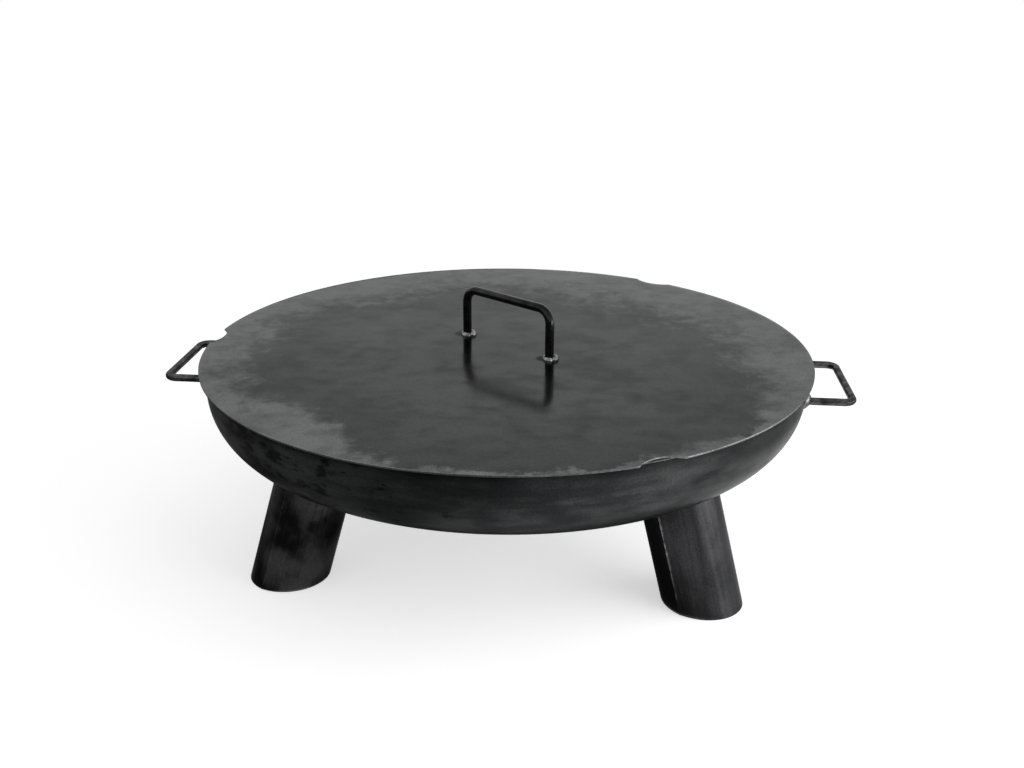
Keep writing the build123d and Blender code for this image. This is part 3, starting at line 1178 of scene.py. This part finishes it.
@dataclass(frozen=True)
class Lid:
    """A flat sheet lid with three edge notches and a bent bar to lift it by."""

    radius: float
    bottom: float
    top: float
    notch_radius: float = 45.0
    notch_depth: float = 11.5
    notch_turn: float = 59.3
    notch_count: int = 3
    notch_columns: int = 24
    columns: int = 480
    shrink: tuple[float, ...] = (0.985, 0.95, 0.85, 0.65, 0.45, 0.25, 0.1)
    edge_round: float = 0.4
    edge_corner: float = 1 / 3
    skin_depth: float = 0.04
    handle_width: float = 152.0
    handle_height: float = 67.0
    handle_turn: float = -37.6
    bar_radius: float = 6.0
    bend: float = 19.0
    weld: Bead = Bead(size=7.0, pitch=50.0, ripple=0.0, fullness=0.9, rise=1.05)
    dabs: int = 3
    dab_turn: float = -110.0
    dab_round: float = 0.6
    largest_dab: float = 120.0
    dab_stray: float = 0.2
    crease: float = 0.3
    # How far the heat blackening and painted shadow round the welds are drawn off, to the left.
    blackening_and_shadow_drift: Point = (-6.5, 2.0, 0.0)
    weld_stations: int = 120

    @classmethod
    def from_frame(cls) -> "Lid":
        """Read the lid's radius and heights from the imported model."""
        low, high = (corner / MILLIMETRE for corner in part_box("lid_plate"))
        return cls(radius=high.y, bottom=low.z, top=high.z)

    @property
    def notch_middle(self) -> float:
        """How far from the lid's centre the notches' circles are centred."""
        return self.radius - self.notch_depth + self.notch_radius

    def reach(self, angle: float) -> float:
        """Radius of the lid's outline.

        Args:
            angle: Angle from +X, in radians.

        Returns:
            The radius at that angle.
        """
        step = FULL_TURN / self.notch_count
        turned = (angle - radians(self.notch_turn) + step / 2) % step - step / 2
        across = self.notch_middle * sin(turned)
        if abs(across) >= self.notch_radius:
            return self.radius
        return min(self.radius, self.notch_middle * cos(turned) - sqrt(self.notch_radius**2 - across**2))

    def outline(self) -> list[Pair]:
        """The lid's outline, with a point at each corner of a notch.

        Returns:
            Angle in radians and radius of each point.
        """
        middle = self.notch_middle
        half = acos((self.radius**2 + middle**2 - self.notch_radius**2) / (2 * self.radius * middle))
        angles = around(self.columns)
        for notch in around(self.notch_count):
            for share in spread(-1, 1, self.notch_columns):
                angles.append((radians(self.notch_turn) + notch + share * half) % FULL_TURN)
        return [(angle, self.reach(angle)) for angle in sorted(set(angles))]

    def plate(self) -> Surface:
        """The sheet, with slightly rounded edges.

        Returns:
            The sheet's skin, with finish 1 on the cut edge.
        """
        soft = self.edge_round
        corner = soft * self.edge_corner
        levels = [(self.top, share, 0) for share in reversed(self.shrink)]
        levels += [(self.top, 1, soft), (self.top - corner, 1, corner), (self.top - soft, 1, 0)]
        levels += [(self.bottom + soft, 1, 0), (self.bottom, 1, soft)]
        levels += [(self.bottom, share, 0) for share in self.shrink]
        outline = self.outline()
        rings = [[UP * self.top]]
        for height, share, inset in levels:
            rings.append([
                direction(angle) * (reach * share - inset) + UP * height for angle, reach in outline
            ])
        rings.append([UP * self.bottom])
        plate = Surface()
        plate.cover(rings, Ends.OPEN)
        skin = self.skin_depth
        plate.repaint(1, lambda middle: self.bottom + skin < middle.z < self.top - skin)
        return plate

    def dab(self, run: float) -> float:
        """Share of the handle weld's size, which is laid in dabs with a crease between them.

        Args:
            run: Place along the weld.

        Returns:
            The share.
        """
        angle = run / self.bar_radius - radians(self.dab_turn)
        share = self.crease + (1 - self.crease) * abs(cos(self.dabs / 2 * angle)) ** self.dab_round
        return share * (1 - self.dab_stray + self.dab_stray * cos(angle - radians(self.largest_dab)))

    def dress(self) -> None:
        """Place the sheet, its handle and the welds of the handle."""
        along = direction(radians(self.handle_turn))
        feet = {side: along * (side.value * self.handle_width / 2) + UP * self.top for side in Side}
        sheet = SheetSteel(
            "hot_rolled_sheet_steel", dark="#3b3c3c", pale="#4e4f4f", patch=75, streak=24, drawn=(1.3, 1, 1),
            streaky=0.55, contrast=(0.32, 0.6), roughness=(0.14, 0.2), grazing="#cbcbcb", warp=5.0,
            top=self.top, welded=tuple(tuple(foot + Vector(self.blackening_and_shadow_drift)) for foot in feet.values()),
        )
        Piece("lid_sheet", Body.LID, Slot.SHEET, ("lid_plate",)).place(self.plate(), sheet, CUT_STEEL)
        rise = UP * self.handle_height
        left, right = feet[Side.LEFT], feet[Side.RIGHT]
        handle = BentBar((left, left + rise, right + rise, right), self.bar_radius, self.bend)
        Piece("lid_lift_bar", Body.LID, Slot.BAR, ("lid_handle",)).place(handle.surface(), BAR_STEEL)
        for side, foot in feet.items():
            roots = WeldRoot.all_round(
                foot, (Vector((1, 0, 0)), Vector((0, 1, 0))), self.bar_radius, lambda point: point, UP,
                self.weld_stations,
            )
            word = side.name.lower()
            Piece(f"lid_lift_bar_weld_{word}", Body.LID, Slot.WELD, (f"lid_handle_weld_{word}",)).place(
                self.weld.lay(roots, self.dab, Ends.JOINED), FRESH_WELD
            )


@dataclass(frozen=True)
class Grate:
    """The loose fire grate: a ring, bars coped into it, two cross bars below and two lifting loops."""

    height: float
    ring_radius: float
    ring_bar: float
    bar_radius: float = 4.0
    bar_count: int = 15
    run_step: float = 20.0
    loop_rise: float = 55.0
    loop_pitches: int = 3
    loop_bend: float = 14.0
    ring_columns: int = 200
    section: int = 24
    tack: Bead = Bead(size=3.6, pitch=2.5, ripple=0.12, rows=6)
    tack_reach: float = 75.0
    tack_beyond: float = 1.05
    tack_least: float = 0.25
    tack_stations: int = 14

    @classmethod
    def from_frame(cls) -> "Grate":
        """Read the ring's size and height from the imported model.

        Returns:
            The grate.
        """
        low, high = (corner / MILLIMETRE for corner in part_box("grate_ring"))
        bar = (high.z - low.z) / 2
        return cls(height=(low.z + high.z) / 2, ring_radius=high.x - bar, ring_bar=bar)

    @property
    def pitch(self) -> float:
        """Distance from bar to bar."""
        return 2 * self.ring_radius / (self.bar_count + 1)

    def ring_seat(self, point: Vector) -> Vector:
        """Push a point along X onto the inside of the ring.

        Args:
            point: A point of a bar's end.

        Returns:
            Where it meets the ring.
        """
        above = min(abs(point.z - self.height), self.ring_bar)
        inner = self.ring_radius - sqrt(self.ring_bar**2 - above**2)
        reach = sqrt(max(0.0, inner**2 - point.y**2))
        return Vector((reach if point.x > 0 else -reach, point.y, point.z))

    def hoop(self) -> Surface:
        """The ring, bent from one bar.

        Returns:
            The ring's skin.
        """
        def point(turn: float, angle: float) -> Placed:
            """A point of the ring's skin.

            Args:
                turn: Angle round the ring, in radians.
                angle: Angle round its bar, in radians.

            Returns:
                The point, and the same point on a ring at the origin.
            """
            stock = direction(turn) * (self.ring_radius + self.ring_bar * cos(angle))
            stock += UP * (self.ring_bar * sin(angle))
            return stock + UP * self.height, stock

        return Surface.swept(around(self.ring_columns), around(self.section), point, Ends.JOINED)

    def straight(self, start: Vector, stop: Vector, seat: Seat | None) -> Surface:
        """A straight bar.

        Args:
            start: Middle of its first end.
            stop: Middle of its last end.
            seat: Pushes a point of an end onto what carries it.

        Returns:
            The bar's skin.
        """
        across = UP.cross((stop - start).normalized())
        length = (stop - start).length

        def point(share: float, angle: float) -> Placed:
            """A point of the bar's skin.

            Args:
                share: Share of the bar's length.
                angle: Angle round the bar, in radians.

            Returns:
                The point, and the same point on a bar that stands upright.
            """
            placed = start.lerp(stop, share) + (across * cos(angle) + UP * sin(angle)) * self.bar_radius
            if seat and share in (0, 1):
                placed = seat(placed)
            return placed, direction(angle) * self.bar_radius + UP * (share * length) + across * start.y

        rows = spread(0, 1, ceil(length / self.run_step))
        return Surface.swept(rows, around(self.section), point, Ends.CAPPED)

    def rod(self, y: float) -> Surface:
        """One bar, coped into the ring at both ends."""
        half = sqrt(self.ring_radius**2 - y**2) - self.ring_bar
        return self.straight(Vector((-half, y, self.height)), Vector((half, y, self.height)), self.ring_seat)

    def runner(self, word: str) -> Surface:
        """One cross bar under the bars.

        Args:
            word: The side that it is on.

        Returns:
            The bar's skin.
        """
        low, high = (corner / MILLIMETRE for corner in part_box(f"grate_cross_bar_{word}"))
        x, z = (low.x + high.x) / 2, (low.z + high.z) / 2
        return self.straight(Vector((x, low.y, z)), Vector((x, high.y, z)), None)

    def lifter(self, side: Side) -> Surface:
        """One lifting loop that stands on the ring.

        Args:
            side: Which loop.

        Returns:
            The loop's skin.
        """
        half = self.loop_pitches * self.pitch / 2
        x = side.value * sqrt(self.ring_radius**2 - half**2)
        foot, head = self.height + self.ring_bar / 2, self.height + self.loop_rise
        path = ((-half, foot), (-half, head), (half, head), (half, foot))
        return BentBar(tuple(Vector((x, y, z)) for y, z in path), self.bar_radius, self.loop_bend).surface()

    def add_tack(self, tacks: Surface, y: float, side: Side) -> None:
        """Add the tack weld over one end of a bar.

        Args:
            tacks: Surface that gathers the tacks.
            y: Place of the bar.
            side: Which end.
        """
        middle = Vector((side.value * self.ring_radius, y, self.height))
        inward = Vector((-side.value, 0, 0))
        reach = radians(self.tack_reach)
        roots = []
        for angle in spread(-reach, reach, self.tack_stations):
            out = Vector((0, sin(angle), cos(angle))) * self.bar_radius
            run = angle * self.bar_radius
            roots.append(WeldRoot.at(middle, out, self.ring_seat, inward, run, self.tack_beyond))

        def lump(run: float) -> float:
            """Share of the tack's size at a run: round, and thin at both ends."""
            left = max(0.0, 1 - (run / (reach * self.bar_radius)) ** 2)
            return max(self.tack_least, sqrt(left))

        self.tack.lay(roots, lump, Ends.CAPPED, tacks)

    def dress(self) -> None:
        """Place every bar of the grate and its tack welds."""
        tacks = Surface()
        bars = [("grate_hoop", "grate_ring", self.hoop())]
        for number in range(1, self.bar_count + 1):
            y = number * self.pitch - self.ring_radius
            bars.append((f"grate_rod_{number:02d}", f"grate_bar_{number:02d}", self.rod(y)))
            for side in Side:
                self.add_tack(tacks, y, side)
        for side in Side:
            word = side.name.lower()
            bars.append((f"grate_runner_{word}", f"grate_cross_bar_{word}", self.runner(word)))
            bars.append((f"grate_lifter_{word}", f"grate_lift_loop_{word}", self.lifter(side)))
        for name, node, bar in bars:
            Piece(name, Body.GRATE, Slot.GRATE, (node,)).place(bar, GRATE_STEEL)
        Piece("grate_tack_welds", Body.GRATE, Slot.WELD).place(tacks, WELD_METAL)


@dataclass(frozen=True)
class Card:
    """A glowing card of painted shade or highlight, seen only in reflections, whose edges may fade out.

    A card lies flat and faces up where it has nothing to face. One that stands upright is low, so that the
    lid mirrors the white surround above it from every side.
    """

    name: str
    middle: Point
    size: Pair
    grey: str
    fade: float = 0.0
    strength: float = 1.0
    towards: Point | None = None


@dataclass(frozen=True)
class Lamp:
    """A soft box."""

    name: str
    place: Point
    size: Pair
    aim: Point
    watts: float


@dataclass(frozen=True)
class Studio:
    """Camera, pale floor, white surround, soft light, and cards of painted shade and highlight."""

    eye: Point = (131.78, -1447.98, 780.03)
    aim: Point = (7.0, 0.6, 225.5)
    roll: float = 0.348
    lens: float = 39.57
    sensor: float = 36.0
    surround: float = 0.6
    floor_size: Pair = (9000.0, 9000.0)
    floor_colour: str = "#e6e6e6"
    floor_lift: float = 0.54
    floor_fade: Pair = (450.0, 1200.0)
    lamp: Lamp = Lamp("key_box", (1900, -500, 660), (2500, 1300), (0, 0, 250), 44)
    cards: tuple[Card, ...] = (
        # A glowing white card, no lamp: a painted highlight that stands in for the key box's reflection,
        # since the box isn't mirrored.
        Card("painted_key_highlight", (1900, -500, 150), (2500, 800), WHITE, 200, 4.3, towards=(0, -100, 150)),
        # Dark upright cards at the camera's side and the left: painted shade of a dark room, seen only in
        # reflections.
        Card("painted_room_shade", (0, -2000, 150), (5000, 1000), "#2a2a2a", 150, towards=(0, 0, 150)),
        Card("painted_left_shade", (-1150, -500, 60), (2600, 840), "#202020", 120, towards=(0, -500, 60)),
        # Grey cards on the floor: painted shadow of the object on the floor, seen only in reflections.
        Card("shade_card", (-590, -1200, 2), (2000, 1700), "#7c7c7c", 450),
        Card("painted_near_shadow", (-690, -100, 2.5), (1620, 1600), "#929292", 300),
        Card("painted_right_shadow", (880, 60, 2), (500, 1000), "#b4b4b4", 150),
        Card("painted_foot_shadow", (-440, -60, 3), (300, 520), "#4a4a4a", 120),
        Card("under_card", (50, 0, 3.5), (600, 700), "#404040", 150),
        # A dark upright card at the back left: painted shade, seen only in reflections.
        Card("painted_low_shade", (-1000, 1000, 150), (2600, 500), "#181818", towards=(0, 0, 150)),
    )

    def build(self) -> None:
        """Add everything that lights and shows the object."""
        bpy.context.scene.view_settings.view_transform = "Standard"
        self.add_camera()
        self.add_surround()
        self.add_floor()
        self.add_lamp()
        for card in self.cards:
            self.add_card(card)

    def add_camera(self) -> None:
        """Set the camera at the viewing angle."""
        data = bpy.data.cameras.new("camera")
        data.sensor_width = self.sensor
        data.sensor_fit = "HORIZONTAL"
        data.lens = self.lens
        camera = bpy.data.objects.new("camera", data)
        eye, aim = Vector(self.eye) * MILLIMETRE, Vector(self.aim) * MILLIMETRE
        forward = (aim - eye).normalized()
        level = forward.cross(UP).normalized()
        upright = level.cross(forward)
        tilt = radians(self.roll)
        right = level * cos(tilt) + upright * sin(tilt)
        turn = Matrix((right, right.cross(forward), -forward)).transposed().to_4x4()
        camera.matrix_world = Matrix.Translation(eye) @ turn
        bpy.context.scene.collection.objects.link(camera)
        bpy.context.scene.camera = camera

    def seen(self, tree: Tree) -> Node:
        """One for a ray from the camera, a reflection or a refraction, and zero for other light.

        Args:
            tree: Tree that takes the nodes.

        Returns:
            The node that gives the number.
        """
        path = add_node(tree, "LightPath").outputs
        mirrored = add_node(tree, "Math", {0: path["Is Glossy Ray"], 1: path["Is Transmission Ray"]},
                            operation="ADD")
        return add_node(tree, "Math", {0: path["Is Camera Ray"], 1: mirrored}, operation="ADD",
                        use_clamp=True)

    def add_surround(self) -> None:
        """White surround for the camera and for reflections, and a softer light for the rest."""
        world = bpy.data.worlds.new("white_surround")
        bpy.context.scene.world = world
        tree = empty_tree(world)
        strength = add_node(tree, "MapRange", {
            "Value": self.seen(tree), "To Min": self.surround, "To Max": 1.0,
        })
        light = add_node(tree, "Background", {"Color": linear(WHITE), "Strength": strength})
        add_node(tree, "OutputWorld", {"Surface": light})

    def add_floor(self) -> None:
        """Pale floor that keeps the object's shadow and fades into the white surround."""
        material = bpy.data.materials.new("pale_matt_floor")
        tree = empty_tree(material)
        place = add_node(tree, "TexCoord").outputs["Object"]
        far = add_node(tree, "VectorMath", {0: place}, operation="LENGTH").outputs["Value"]
        fade = add_node(tree, "MapRange", {
            "Value": far, "From Min": self.floor_fade[0] * MILLIMETRE,
            "From Max": self.floor_fade[1] * MILLIMETRE,
        }, interpolation_type="SMOOTHSTEP")
        seen = self.seen(tree)
        matt = add_node(tree, "BsdfDiffuse", {"Color": linear(self.floor_colour)})
        lift = add_node(tree, "Math", {0: seen, 1: self.floor_lift}, operation="MULTIPLY")
        lifted = add_node(tree, "AddShader", {0: matt, 1: add_node(tree, "Emission", {"Strength": lift})})
        white = add_node(tree, "Emission", {"Strength": 1.0})
        share = add_node(tree, "Math", {0: fade, 1: seen}, operation="MULTIPLY")
        both = add_node(tree, "MixShader", {0: share, 1: lifted, 2: white})
        add_node(tree, "OutputMaterial", {"Surface": both})
        self.add_plane("floor", Matrix.Identity(4), self.floor_size, material)

    def add_plane(self, name: str, place: Matrix, size: Pair, material: Material) -> bpy.types.Object:
        """Add a flat stage piece.

        Args:
            name: Its name.
            place: Where it stands, facing along its own Z, in metres.
            size: Its width and height.
            material: Its material.

        Returns:
            The stage piece.
        """
        x, y = (side / 2 * MILLIMETRE for side in size)
        mesh = bpy.data.meshes.new(name)
        mesh.from_pydata([(-x, -y, 0), (x, -y, 0), (x, y, 0), (-x, y, 0)], [], [(0, 1, 2, 3)])
        mesh.materials.append(material)
        plane = bpy.data.objects.new(name, mesh)
        plane.matrix_world = place
        bpy.context.scene.collection.objects.link(plane)
        return plane

    def facing(self, place: Point, heading: Vector) -> Matrix:
        """Matrix of something that stands at a place with its own Z along a heading, in metres."""
        turn = heading.to_track_quat("Z", "Y").to_matrix().to_4x4()
        return Matrix.Translation(Vector(place) * MILLIMETRE) @ turn

    def add_lamp(self) -> None:
        """Add a soft box that lights the floor and isn't mirrored."""
        lamp = self.lamp
        data = bpy.data.lights.new(lamp.name, "AREA")
        data.shape = "RECTANGLE"
        data.size, data.size_y = (side * MILLIMETRE for side in lamp.size)
        data.energy = lamp.watts
        light = bpy.data.objects.new(lamp.name, data)
        light.matrix_world = self.facing(lamp.place, Vector(lamp.place) - Vector(lamp.aim))
        light.visible_glossy = False
        bpy.context.scene.collection.objects.link(light)

    def add_card(self, card: Card) -> None:
        """Add a card of painted shade or highlight that only reflections see.

        Args:
            card: The card.
        """
        material = bpy.data.materials.new(card.name)
        tree = empty_tree(material)
        face = add_node(tree, "Emission", {"Color": linear(card.grey), "Strength": card.strength})
        if card.fade:
            place = add_node(tree, "SeparateXYZ", {0: add_node(tree, "TexCoord").outputs["Object"]})
            share = 1.0
            for side, size in zip(("X", "Y"), card.size):
                away = add_node(tree, "Math", {0: place.outputs[side]}, operation="ABSOLUTE")
                inside = add_node(tree, "MapRange", {
                    "Value": away, "From Min": (size / 2 - card.fade) * MILLIMETRE,
                    "From Max": size / 2 * MILLIMETRE, "To Min": 1.0, "To Max": 0.0,
                }, interpolation_type="SMOOTHSTEP")
                share = add_node(tree, "Math", {0: inside, 1: share}, operation="MULTIPLY")
            clear = add_node(tree, "BsdfTransparent")
            face = add_node(tree, "MixShader", {0: share, 1: clear, 2: face})
        add_node(tree, "OutputMaterial", {"Surface": face})
        heading = Vector(card.towards) - Vector(card.middle) if card.towards else UP
        plane = self.add_plane(card.name, self.facing(card.middle, heading), card.size, material)
        plane.visible_camera = False
        plane.visible_diffuse = False
        plane.visible_shadow = False
        plane.visible_transmission = False


def main() -> None:
    """Build the object, then its studio."""
    logging.basicConfig(level=logging.INFO, format="%(message)s")
    FireBowl(Dish.from_frame()).dress()
    Lid.from_frame().dress()
    Grate.from_frame().dress()
    Studio().build()


if __name__ == "__main__":
    main()
